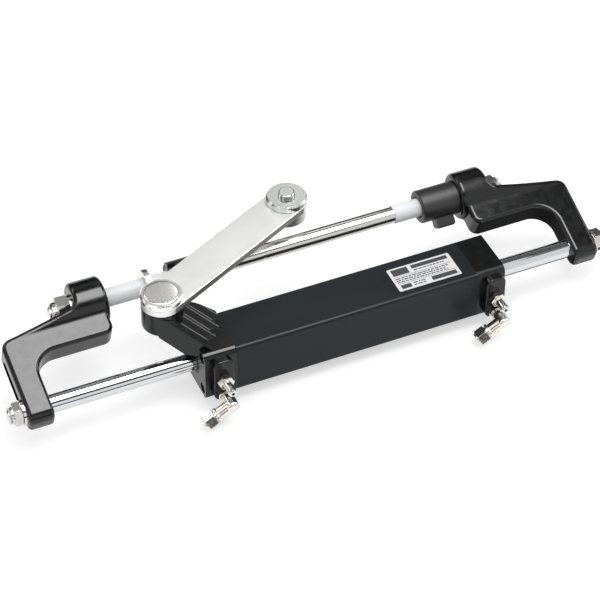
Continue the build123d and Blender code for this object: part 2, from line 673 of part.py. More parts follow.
def elbow():
    """Hose elbow of the left head: threaded stub, collar, bend and outlet with its hose socket."""
    x = LEFT_JOINT - PORT_FROM_JOINT
    bend = -PAD_FACE - BEND_OUT
    stub = drilling((x, -PAD_FACE + PORT_DEPTH - 1, PORT_Z), (x, -PAD_FACE, PORT_Z), PORT_R)
    collar = drilling((x, -PAD_FACE, PORT_Z), (x, -PAD_FACE - COLLAR_L, PORT_Z), COLLAR_R)
    inlet = drilling((x, -PAD_FACE - COLLAR_L, PORT_Z), (x, bend, PORT_Z), INLET_R)
    heel = drilling((x, bend + HEEL_R, PORT_Z), (x, bend - HEEL_R, PORT_Z), HEEL_R)
    heel = fillet(heel.edges().sort_by(Axis.Y)[0], HEEL_R / 2)
    out = outlet_frame()
    rim = HOSE_NUT_START - FLANGE_GAP
    flange = bar(rim - FLANGE_L, rim, FLANGE_R)
    flange = chamfer(flange.edges().filter_by(GeomType.CIRCLE), FLANGE_L / 4)
    body = stub + collar + inlet + heel + out * (bar(0, OUTLET_L, OUTLET_R) + flange)
    body -= drilling((x, -PAD_FACE + PORT_DEPTH, PORT_Z), (x, bend, PORT_Z), OUTLET_BORE_R)
    body -= out * bar(0, OUTLET_L + 1, OUTLET_BORE_R)
    socket = HOSE_NUT_END - HOSE_DEPTH
    return body - out * bar(socket, OUTLET_L + 1, HOSE_R + RUNNING)


def olive():
    """Clamping ring squeezed between the outlet and its nut."""
    start = OUTLET_L + SNUG
    mouth = HOSE_R + RUNNING
    return outlet_frame() * turned([
        (start, mouth), (start, OUTLET_R - SNUG), (start + OLIVE_L / 2, OUTLET_R - SNUG),
        (start + OLIVE_L, mouth + OLIVE_LIP), (start + OLIVE_L, mouth),
    ])


def hose_nut():
    """Compression nut on the elbow's outlet."""
    face = HOSE_NUT_END - HOSE_NUT_RIM_L
    nut = hex_bar(HOSE_NUT_START, face, HOSE_NUT_AF) + bar(face - 1, HOSE_NUT_END, HOSE_NUT_RIM_R)
    inside = OUTLET_L + OLIVE_L + 2 * SNUG
    nut -= bar(HOSE_NUT_START - 1, inside, OUTLET_R + SNUG)
    return outlet_frame() * (nut - bar(0, HOSE_NUT_END + 1, HOSE_R + RUNNING))


def bleed_screw():
    """Bleed screw of the left head: stub with a cone, hexagon and bored nipple."""
    tip = BLEED_DEPTH - 1
    barb = BLEED_HEX_H + (BLEED_OUT - BLEED_HEX_H) * 0.75
    shape = turned([
        (-tip, 0), (-tip, 1.2), (-tip + 2.5, BLEED_R), (0, BLEED_R), (BLEED_HEX_H, BLEED_R),
        (barb, BLEED_R - 0.5), (barb + 0.3, BLEED_R), (BLEED_OUT - 1, BLEED_R - 0.3),
        (BLEED_OUT, BLEED_R - 1.2), (BLEED_OUT, 0),
    ])
    shape += hex_bar(0.05, BLEED_HEX_H, BLEED_HEX)
    shape -= bar(-1, BLEED_OUT + 1, BLEED_BORE_R)
    x = LEFT_JOINT - PORT_FROM_JOINT
    return Pos(x, -PAD_FACE, BLEED_Z) * Rot(0, 0, -90) * shape


def beside_right_head(shape):
    """The left head's fitting moved to the right head's port."""
    return Pos(RIGHT_JOINT - LEFT_JOINT + 2 * PORT_FROM_JOINT, 0, 0) * shape


# Pivot bolt, link and tiller end

def cap(bottom, height, radius, edge):
    """Round cap with a bevelled top edge."""
    head = post(bottom, bottom + height, radius)
    return chamfer(head.edges().sort_by(Axis.Z)[-1], edge)


def pivot_bolt():
    """Capped bolt that the link swings on, screwed down into the lug."""
    return cap(CAP_Z, PIN_CAP_H, PIN_CAP_R, PIN_CAP_BREAK) + post(LUG_TOP - PIN_SCREW_L + 1, CAP_Z + 1, PIN_R)


def link_bush():
    """Bearing bush in an end of the link."""
    return post(LINK_Z, LINK_Z + LINK_T, LINK_BUSH_R - SNUG) - post(LINK_Z - 1, CAP_Z, PIN_R + RUNNING)


def link_arm():
    """Flat stainless bar with round ends and an eye at each."""
    blank = SlotCenterToCenter(LINK_LENGTH, LINK_W)
    arm = extrude(Pos(LINK_LENGTH / 2, 0, LINK_Z) * blank, LINK_T)
    flat_faces = arm.faces().sort_by(Axis.Z)
    arm = chamfer(flat_faces[0].edges() + flat_faces[-1].edges(), LINK_BREAK)
    for centre in (0, LINK_LENGTH):
        arm -= Pos(centre, 0, 0) * post(LINK_Z - 1, CAP_Z, LINK_BUSH_R)
    return Rot(0, 0, LINK_TURN) * arm


def tiller_bolt():
    """Bolt through the link's far eye, bored and threaded from below for the tiller screw."""
    bolt = cap(CAP_Z, TILLER_CAP_H, TILLER_CAP_R, PIN_CAP_BREAK)
    knob = post(CAP_Z, CAP_Z + TILLER_CAP_H + TILLER_KNOB_H, TILLER_KNOB_R)
    bolt += fillet(knob.edges().sort_by(Axis.Z)[-1], TILLER_KNOB_EDGE_R)
    bottom = LUG_TOP - TILLER_BUSH_L
    bolt += post(bottom, CAP_Z + 1, PIN_R)
    return bolt - post(bottom - 1, bottom + TILLER_THREAD_L, TILLER_THREAD_R)


def tiller_bush():
    """Spacer that holds the link above the tiller."""
    spacer = post(LUG_TOP - TILLER_BUSH_L, LUG_TOP, TILLER_BUSH_R) - post(0, CAP_Z, PIN_R + SNUG)
    return chamfer(spacer.edges().filter_by(GeomType.CIRCLE).sort_by(Axis.Z)[0], LINK_BREAK)


def all_parts():
    """Every node by name, in place."""
    parts = {"support_rod": support_rod(), "lock_nut": lock_nut(), "adjusting_nut": adjusting_nut()}
    parts["adjusting_screw"] = adjusting_screw()
    parts["thrust_ring"] = ring(THRUST_RING_X, THRUST_RING_X + THRUST_RING_W, THRUST_RING_R, SLEEVE_R + RUNNING)
    parts["sleeve_left"] = mirror(sleeve(-SLEEVE_INNER_END_L), about=Plane.YZ)
    parts["sleeve_right"] = sleeve(SLEEVE_INNER_END_R)
    tube_washer = ring(BOSS_OUTER_X, BOSS_OUTER_X + WASHER_H, SUPPORT_WASHER_R, SUPPORT_THREAD_R + SNUG)
    nut_seat = BOSS_OUTER_X + WASHER_H
    left_nut = lock_nut_on(nut_seat, SUPPORT_NUT_AF_LEFT, SUPPORT_NUT_H_LEFT, SUPPORT_THREAD_R)
    parts["tube_nut_left"] = mirror(left_nut, about=Plane.YZ)
    parts["tube_nut_right"] = lock_nut_on(nut_seat, SUPPORT_NUT_AF_RIGHT, SUPPORT_NUT_H_RIGHT, SUPPORT_THREAD_R)
    rod_washer = PISTON_AXIS * ring(ARM_OUTER_X, ARM_OUTER_X + WASHER_H, STUD_WASHER_R, STUD_R + SNUG)
    rod_nut = PISTON_AXIS * lock_nut_on(ARM_OUTER_X + WASHER_H, STUD_NUT_AF, STUD_NUT_H, STUD_R)
    mirrored = {"arm": ARM_FRAME * right_arm(), "tube_washer": tube_washer}
    mirrored.update({"rod_washer": rod_washer, "rod_nut": rod_nut})
    for name, shape in mirrored.items():
        for side, piece in both_ends(shape).items():
            parts[f"{side}_arm" if name == "arm" else f"{name}_{side}"] = piece
    for build in (piston_rod, piston, piston_seal, piston_clips, barrel, left_head, right_head):
        parts[build.__name__] = PISTON_AXIS * build()
    for build in (head_screws, wiper, rod_seal, gland_bush):
        parts[f"{build.__name__}_left"] = PISTON_AXIS * to_left(build(LEFT_HEAD_L))
        parts[f"{build.__name__}_right"] = PISTON_AXIS * to_right(build(RIGHT_HEAD_L))
    parts["spigot_ring_left"] = PISTON_AXIS * to_left(spigot_ring())
    parts["spigot_ring_right"] = PISTON_AXIS * to_right(spigot_ring())
    for build in (elbow, olive, hose_nut, bleed_screw):
        fitting = build()
        parts[f"{build.__name__}_left"] = PISTON_AXIS * fitting
        parts[f"{build.__name__}_right"] = PISTON_AXIS * beside_right_head(fitting)
    parts["pivot_bolt"] = LUG_FRAME * pivot_bolt()
    parts["link_arm"] = LUG_FRAME * link_arm()
    parts["link_bush_lug"] = LUG_FRAME * link_bush()
    parts["link_bush_tiller"] = TILLER_FRAME * link_bush()
    parts["tiller_bolt"] = TILLER_FRAME * tiller_bolt()
    parts["tiller_bush"] = TILLER_FRAME * tiller_bush()
    return parts


os.makedirs("parts", exist_ok=True)
for node, shape in all_parts().items():
    export_step(shape, f"parts/{node}.step")
    print(node, round(shape.volume))
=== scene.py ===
# %% [markdown]
# # A hydraulic steering cylinder, dressed for its picture
#
# The cylinder steers an outboard engine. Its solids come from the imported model, in metres and in
# place: two cast arms, a chromed piston rod that stays still, a square barrel that slides along
# it, a support rod for the engine's tilt tube, and a flat link that pushes the tiller. This
# lesson gives every surface its finish, adds the few things that are too fine for the solids,
# and sets up a plain studio at the photograph's angle.

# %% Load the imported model
import json
import math

import bpy
import numpy as np
from mathutils import Matrix, Vector


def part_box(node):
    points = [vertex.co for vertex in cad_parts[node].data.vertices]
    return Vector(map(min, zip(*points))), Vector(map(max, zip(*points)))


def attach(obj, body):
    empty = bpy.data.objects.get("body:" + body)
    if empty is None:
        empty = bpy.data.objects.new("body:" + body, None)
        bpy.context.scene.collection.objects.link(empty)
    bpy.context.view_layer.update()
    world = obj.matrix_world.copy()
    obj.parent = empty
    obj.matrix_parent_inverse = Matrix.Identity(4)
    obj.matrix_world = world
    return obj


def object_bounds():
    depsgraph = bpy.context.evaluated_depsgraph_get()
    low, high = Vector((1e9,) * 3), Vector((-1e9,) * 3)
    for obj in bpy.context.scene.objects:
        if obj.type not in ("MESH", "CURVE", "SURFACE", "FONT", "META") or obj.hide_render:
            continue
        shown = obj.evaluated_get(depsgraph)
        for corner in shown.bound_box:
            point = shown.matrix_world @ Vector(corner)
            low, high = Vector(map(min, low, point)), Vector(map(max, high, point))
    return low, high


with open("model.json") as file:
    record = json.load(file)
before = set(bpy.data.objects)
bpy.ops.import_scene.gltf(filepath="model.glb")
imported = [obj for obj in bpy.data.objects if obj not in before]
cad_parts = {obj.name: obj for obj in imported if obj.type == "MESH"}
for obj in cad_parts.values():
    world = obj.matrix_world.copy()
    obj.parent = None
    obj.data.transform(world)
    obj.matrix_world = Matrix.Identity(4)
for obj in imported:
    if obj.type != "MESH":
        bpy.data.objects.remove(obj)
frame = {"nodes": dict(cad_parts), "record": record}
nodes = frame["nodes"]
cad_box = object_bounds()
MM = 0.001
print("nodes:", len(nodes), "box in mm:", [round(v / MM, 1) for corner in cad_box for v in corner])

# %% [markdown]
# ## Soft edges
#
# No real edge is perfectly sharp. A casting, a turned nut and a sawn plate all have a small
# break, and that break is where the light catches. A Bevel node in the material would only bend
# the shading, so modifiers round the meshes themselves. The solids arrive as loose triangles: a
# Weld modifier joins them, a Bevel modifier rounds the sharp edges by a few tenths of a
# millimetre, and an Edge Split parts the sharp ones, so that curved faces shade smoothly. Last, a
# Weighted Normal modifier lets the large faces decide the shading, which keeps flat faces level
# beside their rounded edges. The meshes underneath stay as they came.

# %% Round and smooth every solid
EDGE_ANGLE = math.radians(32)
EDGE_BREAK = {"left_arm": 0.5, "right_arm": 0.5, "left_head": 0.6, "right_head": 0.6, "barrel": 0.3}
USUAL_BREAK = 0.15
BREAK_STEPS = 2
WELD_GAP = 0.002 * MM
LARGE_FACE_PULL = 100


def soften(piece, width):
    """Weld the triangles, round edges sharper than EDGE_ANGLE to width, and shade smoothly."""
    piece.data.polygons.foreach_set("use_smooth", np.ones(len(piece.data.polygons), bool))
    weld = piece.modifiers.new("weld", "WELD")
    weld.merge_threshold = WELD_GAP
    rounding = piece.modifiers.new("edge break", "BEVEL")
    rounding.width = width
    rounding.segments = BREAK_STEPS
    rounding.limit_method = "ANGLE"
    rounding.angle_limit = EDGE_ANGLE
    rounding.harden_normals = False
    split = piece.modifiers.new("flat faces", "EDGE_SPLIT")
    split.split_angle = EDGE_ANGLE
    split.use_edge_sharp = False
    level = piece.modifiers.new("level faces", "WEIGHTED_NORMAL")
    level.mode = "FACE_AREA"
    level.weight = LARGE_FACE_PULL


for name, node in nodes.items():
    soften(node, EDGE_BREAK.get(name, USUAL_BREAK) * MM)
print("softened", len(nodes), "solids")

# %% [markdown]
# ## A surface and its coordinates
#
# Each finish is a Principled surface with its plain values on its own sockets. What varies on it
# could be a picture wrapped round the piece, but then every piece would need its seams laid out.
# The piece's own coordinates, in metres, have no seams and the same scale everywhere. A Mapping
# node of type Texture turns a pattern and stretches it along one axis, which makes lines out of
# spots.

# %% A surface and its coordinates


def finish(name, colour, metal=0.0, rough=0.5, gloss=0.5):
    """A new material and its node tree, with constant colour, metal, roughness and specular level."""
    material = bpy.data.materials.new(name)
    material.use_nodes = True
    shader = material.node_tree.nodes["Principled BSDF"]
    shader.inputs["Base Color"].default_value = (*colour, 1)
    shader.inputs["Metallic"].default_value = metal
    shader.inputs["Roughness"].default_value = rough
    shader.inputs["Specular IOR Level"].default_value = gloss
    return material, material.node_tree, shader


def place(tree, stretch=(1, 1, 1), turn=0.0, centre=(0, 0, 0)):
    """The piece's own coordinates, moved to centre, turned about Z and stretched along each axis."""
    here = tree.nodes.new("ShaderNodeTexCoord")
    mapping = tree.nodes.new("ShaderNodeMapping")
    mapping.vector_type = "TEXTURE"
    mapping.inputs["Location"].default_value = centre
    mapping.inputs["Rotation"].default_value = (0, 0, turn)
    mapping.inputs["Scale"].default_value = stretch
    tree.links.new(here.outputs["Object"], mapping.inputs["Vector"])
    return mapping.outputs["Vector"]


print("helpers:", finish.__name__, "and", place.__name__)

# %% [markdown]
# ## Noise and what it drives
#
# The orange peel of enamel, the lines of a brush and the cloud in a dye are all noise, each on a
# scale of its own. Waves and dots could be worked out by a formula, but they repeat, and the eye
# finds that. The noise drives three things: colour, roughness and small bumps. Every scale below
# is in marks per metre, so 600 gives marks about 1.7 mm wide, and every depth is in metres.

# %% Noise
NOISE_LOW = 0.3
NOISE_HIGH = 0.7


def noise(tree, where, scale, detail=3.0):
    """Smooth noise, mostly from NOISE_LOW to NOISE_HIGH, with features 1 / scale metres wide."""
    node = tree.nodes.new("ShaderNodeTexNoise")
    node.inputs["Scale"].default_value = scale
    node.inputs["Detail"].default_value = detail
    tree.links.new(where, node.inputs["Vector"])
    return node.outputs["Fac"]


print("noise is read from", NOISE_LOW, "to", NOISE_HIGH)

# %% Colour and roughness that follow it


def spread(tree, value, low, high):
    """The noise value carried onto the range low to high."""
    node = tree.nodes.new("ShaderNodeMapRange")
    node.inputs["From Min"].default_value = NOISE_LOW
    node.inputs["From Max"].default_value = NOISE_HIGH
    node.inputs["To Min"].default_value = low
    node.inputs["To Max"].default_value = high
    tree.links.new(value, node.inputs["Value"])
    return node.outputs["Result"]


def tint(tree, value, dark, light):
    """A colour between dark and light by the noise value."""
    node = tree.nodes.new("ShaderNodeMix")
    node.data_type = "RGBA"
    node.inputs["A"].default_value = (*dark, 1)
    node.inputs["B"].default_value = (*light, 1)
    tree.links.new(spread(tree, value, 0, 1), node.inputs["Factor"])
    return node.outputs["Result"]


def dye(tree, shader, value, dark, light):
    """Surface colour that follows the noise value from dark to light."""
    tree.links.new(tint(tree, value, dark, light), shader.inputs["Base Color"])


def dull(tree, shader, value, low, high):
    """Roughness that follows the noise value from low to high."""
    tree.links.new(spread(tree, value, low, high), shader.inputs["Roughness"])


print("helpers:", spread.__name__, tint.__name__, dye.__name__, "and", dull.__name__)

# %% Bumps


def relief(tree, shader, height, depth):
    """Bumps of the given depth in metres, laid over any bumps that the shader has already."""
    node = tree.nodes.new("ShaderNodeBump")
    node.inputs["Distance"].default_value = depth
    node.inputs["Strength"].default_value = 1.0
    tree.links.new(height, node.inputs["Height"])
    before = shader.inputs["Normal"].links
    if before:
        tree.links.new(before[0].from_socket, node.inputs["Normal"])
    tree.links.new(node.outputs["Normal"], shader.inputs["Normal"])


print("helper:", relief.__name__)

# %% [markdown]
# ## Enamel on castings
#
# The arms and the two heads are aluminium castings under gloss black enamel. A clear coat over a
# black base could give the same shine, but one glossy black surface is simpler and looks alike.
# Poured metal is never quite flat, so a slow swell a centimetre wide bends the reflections, and
# the paint adds a fine orange peel on top. The two depths are far apart: the swell is two
# hundredths of a millimetre, the peel three thousandths.

# %% Black enamel
ENAMEL_COLOUR = (0.004, 0.0045, 0.005)
ENAMEL_ROUGH = (0.17, 0.24)
ENAMEL_CLOUD = 160
SWELL = 90
SWELL_DEPTH = 0.02 * MM
PEEL = 700
PEEL_DEPTH = 0.003 * MM


def enamel(name, gloss):
    """Gloss black paint over a casting: slow swell, fine peel and slightly uneven shine."""
    material, tree, shader = finish(name, ENAMEL_COLOUR, rough=0.2, gloss=gloss)
    where = place(tree)
    relief(tree, shader, noise(tree, where, SWELL, detail=1.0), SWELL_DEPTH)
    relief(tree, shader, noise(tree, where, PEEL, detail=2.0), PEEL_DEPTH)
    dull(tree, shader, noise(tree, where, ENAMEL_CLOUD), *ENAMEL_ROUGH)
    return material


ARM_ENAMEL = enamel("arm enamel", gloss=0.42)
HEAD_ENAMEL = enamel("head enamel", gloss=0.36)
print("enamels:", ARM_ENAMEL.name, "and", HEAD_ENAMEL.name)

# %% [markdown]
# ## Anodised extrusion
#
# The barrel is an extruded square tube, so the die leaves faint lines along it. Dark anodising
# is satin: it keeps a trace of those lines and softens every reflection. Real grooves would cost
# many faces for almost no depth, so the lines are noise stretched two hundred times along X.
# Soft cloudy patches vary the depth of the dye a little.

# %% Dark satin anodising
SATIN_DARK = (0.007, 0.010, 0.0125)
SATIN_LIGHT = (0.011, 0.015, 0.018)
SATIN_ROUGH = (0.31, 0.42)
DYE_CLOUD = 22
DIE_LINES = 900
DIE_LINE_DEPTH = 0.012 * MM


def anodising():
    """Satin dark grey with die lines along X and a faint cloud in the colour."""
    material, tree, shader = finish("dark anodising", (0.009, 0.012, 0.015), rough=0.36, gloss=0.2)
    lines = noise(tree, place(tree, stretch=(200, 1, 1)), DIE_LINES, detail=4.0)
    cloud = noise(tree, place(tree, stretch=(4, 1, 1)), DYE_CLOUD, detail=2.0)
    dye(tree, shader, cloud, SATIN_DARK, SATIN_LIGHT)
    dull(tree, shader, lines, *SATIN_ROUGH)
    relief(tree, shader, lines, DIE_LINE_DEPTH)
    return material


ANODISED = anodising()
print("barrel finish:", ANODISED.name)

# %% [markdown]
# ## Bare and plated metal
#
# Ground and polished rods carry very fine rings round their axis, because the wheel runs round
# them. Plate is brushed in one direction. Turned caps have rings about their own centre. An
# anisotropic shader would stretch the highlights, but it shows no single mark. Here all three
# are noise that is stretched along the way the tool moved.

# %% Ground rods
GRIND_STRETCH = (0.05, 4, 4)
GRIND_RINGS = 220
GRIND_ROUGH = (0.75, 1.35)


def rod_metal(name, colour, rough, ring_depth):
    """Metal ground round an X axis: noise squeezed along X makes rings."""
    material, tree, shader = finish(name, colour, metal=1.0, rough=rough)
    rings = noise(tree, place(tree, stretch=GRIND_STRETCH), GRIND_RINGS, detail=3.0)
    dull(tree, shader, rings, *(share * rough for share in GRIND_ROUGH))
    relief(tree, shader, rings, ring_depth)
    return material


print("rings on the rods are", round(GRIND_STRETCH[0] / GRIND_RINGS / MM, 2), "mm wide")

# %% [markdown]
# ## A plate with painted dark sides
#
# The link was cut from plate: its faces are brushed along its length. Its sides are painted darker,
# as a painted reflection of the dark band that they mirror. The sides could be given a material of
# their own, but the solid's mesh is left as it came, with one. So the colour changes by place: where
# the distance from the line through the two bolts comes near half of the plate's width.

# %% Brushed plate
BRUSH = 1600
BRUSH_DEPTH = 0.004 * MM
BRUSH_ROUGH = 0.07
STAIN = 35
STAIN_SHADE = 0.94
# Painted reflection: the plate's sides take this darker colour in place of the dark band they mirror.
PAINTED_SIDE_COLOUR = (0.30, 0.29, 0.28)
PAINTED_SIDE_INSET = 0.25 * MM
PAINTED_SIDE_BLUR = 0.1 * MM


def beyond(tree, value, limit, softness):
    """0 below limit, 1 above limit + softness, and a smooth step between."""
    node = tree.nodes.new("ShaderNodeMapRange")
    node.interpolation_type = "SMOOTHSTEP"
    node.inputs["From Min"].default_value = limit
    node.inputs["From Max"].default_value = limit + softness
    tree.links.new(value, node.inputs["Value"])
    return node.outputs["Result"]


def off_line(tree, turn, centre):
    """Distance in plan from the line through centre that lies turn radians from X."""
    across = tree.nodes.new("ShaderNodeSeparateXYZ")
    tree.links.new(place(tree, turn=turn, centre=(centre.x, centre.y, 0)), across.inputs["Vector"])
    distance = tree.nodes.new("ShaderNodeMath")
    distance.operation = "ABSOLUTE"
    tree.links.new(across.outputs["Y"], distance.inputs[0])
    return distance.outputs[0]


def brushed_plate(name, colour, rough, turn, centre, half_width):
    """Metal brushed turn radians from X, with sides painted darker half_width from the line through
    centre, as painted reflection.
    """
    material, tree, shader = finish(name, colour, metal=1.0, rough=rough)
    brush = noise(tree, place(tree, stretch=(60, 1, 1), turn=turn), BRUSH, detail=4.0)
    stain = noise(tree, place(tree), STAIN, detail=3.0)
    stained = tint(tree, stain, tuple(STAIN_SHADE * c for c in colour), colour)
    # Painted reflection: the darker colour on the plate's sides.
    painted_side = beyond(tree, off_line(tree, turn, centre), half_width - PAINTED_SIDE_INSET, PAINTED_SIDE_BLUR)
    edge = tree.nodes.new("ShaderNodeMix")
    edge.data_type = "RGBA"
    edge.inputs["B"].default_value = (*PAINTED_SIDE_COLOUR, 1)
    tree.links.new(painted_side, edge.inputs["Factor"])
    tree.links.new(stained, edge.inputs["A"])
    tree.links.new(edge.outputs["Result"], shader.inputs["Base Color"])
    dull(tree, shader, brush, rough - BRUSH_ROUGH, rough + BRUSH_ROUGH)
    relief(tree, shader, brush, BRUSH_DEPTH)
    return material


print("cut edges begin", round(PAINTED_SIDE_INSET / MM, 2), "mm inside the plate's sides")

# %% [markdown]
# ## Turned caps and bright plate
#
# A cap's face was turned on a lathe, so its marks are circles about the bolt's axis. A Wave
# texture draws circles too, but all of one width. Noise that reads nothing but the distance from
# the axis gives rings as uneven as a tool leaves them. Plated fittings have no such lines: the
# plate follows the soft ripple of the metal below.

# %% Turned caps and plating
LATHE_RINGS = 1500
LATHE_DEPTH = 0.008 * MM
LATHE_ROUGH = (-0.05, 0.06)
RIPPLE = 260
RIPPLE_DEPTH = 0.03 * MM
PLATE_CLOUD = 420
PLATE_ROUGH = (-0.05, 0.08)


def turned_metal(name, colour, rough, centre):
    """Metal turned about the vertical line through centre: noise that depends on the radius alone."""
    material, tree, shader = finish(name, colour, metal=1.0, rough=rough)
    flat = tree.nodes.new("ShaderNodeVectorMath")
    flat.operation = "MULTIPLY"
    flat.inputs[1].default_value = (1, 1, 0)
    tree.links.new(place(tree, centre=(centre.x, centre.y, 0)), flat.inputs[0])
    radius = tree.nodes.new("ShaderNodeVectorMath")
    radius.operation = "LENGTH"
    tree.links.new(flat.outputs["Vector"], radius.inputs[0])
    ringed = tree.nodes.new("ShaderNodeCombineXYZ")
    tree.links.new(radius.outputs["Value"], ringed.inputs["X"])
    rings = noise(tree, ringed.outputs["Vector"], LATHE_RINGS, detail=3.0)
    dull(tree, shader, rings, *(rough + change for change in LATHE_ROUGH))
    relief(tree, shader, rings, LATHE_DEPTH)
    return material


def plated(name, colour, rough):
    """Bright plating on machined metal: uneven shine and the soft ripple left under the plate."""
    material, tree, shader = finish(name, colour, metal=1.0, rough=rough)
    where = place(tree)
    dull(tree, shader, noise(tree, where, PLATE_CLOUD), *(rough + change for change in PLATE_ROUGH))
    relief(tree, shader, noise(tree, where, RIPPLE, detail=2.0), RIPPLE_DEPTH)
    return material


print("the lathe leaves rings", round(1 / LATHE_RINGS / MM, 2), "mm wide")

# %% [markdown]
# ## The metals of the cylinder
#
# One table names every metal by the slot that the record gives it. A function for each would
# hide how they compare. Side by side, it is plain that rods, plate and fasteners are all pale
# greys, set apart by how light and how rough each is. The two bolts with caps are turned about
# different centres, so each has a finish of its own, and their colours differ by painted light:
# the pivot cap's steel is painted lighter and the tiller cap's darker, for how light falls on each.

# %% Metals


def middle_of(node):
    """Centre of a solid's box."""
    low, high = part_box(node)
    return (low + high) / 2


pivot, tiller = middle_of("pivot_bolt"), middle_of("tiller_bolt")
LINK_TURN = math.atan2(tiller.y - pivot.y, tiller.x - pivot.x)
LINK_WIDTH = 35.6 * MM
METALS = {
    "hard_chrome": rod_metal("hard chrome", (0.60, 0.61, 0.62), 0.055, 0.0005 * MM),
    "polished_rod": rod_metal("polished stainless rod", (0.58, 0.57, 0.55), 0.16, 0.003 * MM),
    "link_steel": brushed_plate(
        "satin stainless plate", (0.86, 0.86, 0.845), 0.42, LINK_TURN, pivot, LINK_WIDTH / 2
    ),
    "fastener_steel": plated("stainless fasteners", (0.60, 0.59, 0.57), 0.15),
    "nickel": plated("nickel plate", (0.72, 0.69, 0.64), 0.15),
    "piston_alloy": rod_metal("turned aluminium", (0.72, 0.73, 0.74), 0.30, 0.006 * MM),
    "ring_steel": rod_metal("stainless ring", (0.66, 0.66, 0.65), 0.25, 0.004 * MM),
    "spacer_steel": turned_metal("spacer stainless", (0.62, 0.62, 0.61), 0.30, tiller),
    "screw_steel": plated("blackened screws", (0.05, 0.05, 0.055), 0.38),
    "spring_steel": plated("spring steel", (0.22, 0.22, 0.23), 0.35),
    "olive_brass": plated("plain brass", (0.80, 0.58, 0.26), 0.28),
    "bush_bronze": rod_metal("bearing bronze", (0.52, 0.34, 0.16), 0.35, 0.006 * MM),
}
# Both caps are the same stainless: the pivot cap's colour is painted lighter and the tiller cap's painted
# darker, as painted light and shade.
CAP_STEEL = {
    "pivot_bolt": turned_metal("pivot cap stainless painted lighter", (0.93, 0.92, 0.89), 0.22, pivot),
    "tiller_bolt": turned_metal("tiller cap stainless painted darker", (0.47, 0.48, 0.47), 0.22, tiller),
}
metal_count = len(METALS) + len(CAP_STEEL)
print("link lies", round(math.degrees(LINK_TURN), 1), "degrees from X;", metal_count, "metals")

# %% [markdown]
# ## Plastics and rubber
#
# The two big nuts are black: one moulded with a fine spark-eroded grain, one machined and left
# matte. The sleeves are white nylon, a little waxy. The seals hide in their grooves, but a
# cut-away view shows them, so they get plain black rubber with a slight bloom. A flat colour
# would make all of them look like one material, so grain, bloom and shine each vary on a scale
# of their own.

# %% Plastics and rubber
BLOOM = 60
BLOOM_LIGHT = 1.35
GRAIN_ROUGH = 0.08
NYLON_DARK = (0.78, 0.79, 0.80)
NYLON_LIGHT = (0.83, 0.84, 0.85)
NYLON_ROUGH = (0.34, 0.46)
DRAWN_LINES = 700
DRAWN_DEPTH = 0.006 * MM


def grained(name, colour, rough, grain, depth, gloss=0.5):
    """Matte surface with an even grain 1 / grain metres wide."""
    material, tree, shader = finish(name, colour, rough=rough, gloss=gloss)
    where = place(tree)
    texture = noise(tree, where, grain, detail=2.0)
    bloom = noise(tree, where, BLOOM, detail=2.0)
    dye(tree, shader, bloom, colour, tuple(BLOOM_LIGHT * c for c in colour))
    dull(tree, shader, texture, rough - GRAIN_ROUGH, rough + GRAIN_ROUGH)
    relief(tree, shader, texture, depth)
    return material


def nylon():
    """White nylon tube: waxy, with faint marks drawn along it."""
    material, tree, shader = finish("white nylon", NYLON_DARK, rough=0.4, gloss=0.15)
    drawn = noise(tree, place(tree, stretch=(60, 1, 1)), DRAWN_LINES, detail=2.0)
    dye(tree, shader, drawn, NYLON_DARK, NYLON_LIGHT)
    dull(tree, shader, drawn, *NYLON_ROUGH)
    relief(tree, shader, drawn, DRAWN_DEPTH)
    return material


SOFT = {
    "moulded_black": grained("moulded black plastic", (0.012, 0.012, 0.013), 0.42, 1300, 0.04 * MM),
    "lock_nut_black": grained("matte black nut", (0.010, 0.010, 0.011), 0.38, 900, 0.02 * MM),
    "seal_rubber": grained("seal rubber", (0.014, 0.014, 0.014), 0.55, 800, 0.02 * MM, gloss=0.3),
    "scraper": grained("scraper rubber", (0.018, 0.018, 0.019), 0.45, 800, 0.02 * MM, gloss=0.4),
    "link_bush": grained("bearing plastic", (0.035, 0.035, 0.036), 0.45, 900, 0.02 * MM),
    "nylon": nylon(),
}
FINISHES = {**METALS, **SOFT, "arm_casting": ARM_ENAMEL, "head_casting": HEAD_ENAMEL, "anodised": ANODISED}
print("soft finishes:", sorted(SOFT))

# %% [markdown]
# ## Which piece wears what
#
# The record that was packed with the solids names a material slot for every node. The finishes
# above use the same names, so handing them out is one loop, and a piece that is added to the
# record later gets its finish too. Only the two capped bolts are looked up by their own names.

# %% Hand the finishes out
subparts = frame["record"]["subparts"]
for part in subparts:
    name, slot = part["node"], part["material_slot"]
    chosen = CAP_STEEL[name] if name in CAP_STEEL else FINISHES[slot]
    nodes[name].data.materials.clear()
    nodes[name].data.materials.append(chosen)
print("finished", len(subparts), "solids with", len(FINISHES) + len(CAP_STEEL), "materials")

# %% [markdown]
# ## Surfaces from rings of points
#
# The added pieces are a crown, four threads, four inserts and a label. Each could be made with a
# tool of its own, such as Screw, Spin or Solidify, but they are all the same kind of surface:
# rings of points, one row per ring, joined into quads. A thread's rings are its profile carried
# along a helix, an insert's are its section carried round the rod, and a label has two, its
# outline below and above. A skin whose last ring doesn't join the first is closed at both ends
# by a fan to the ring's middle.

# %% Build a closed skin


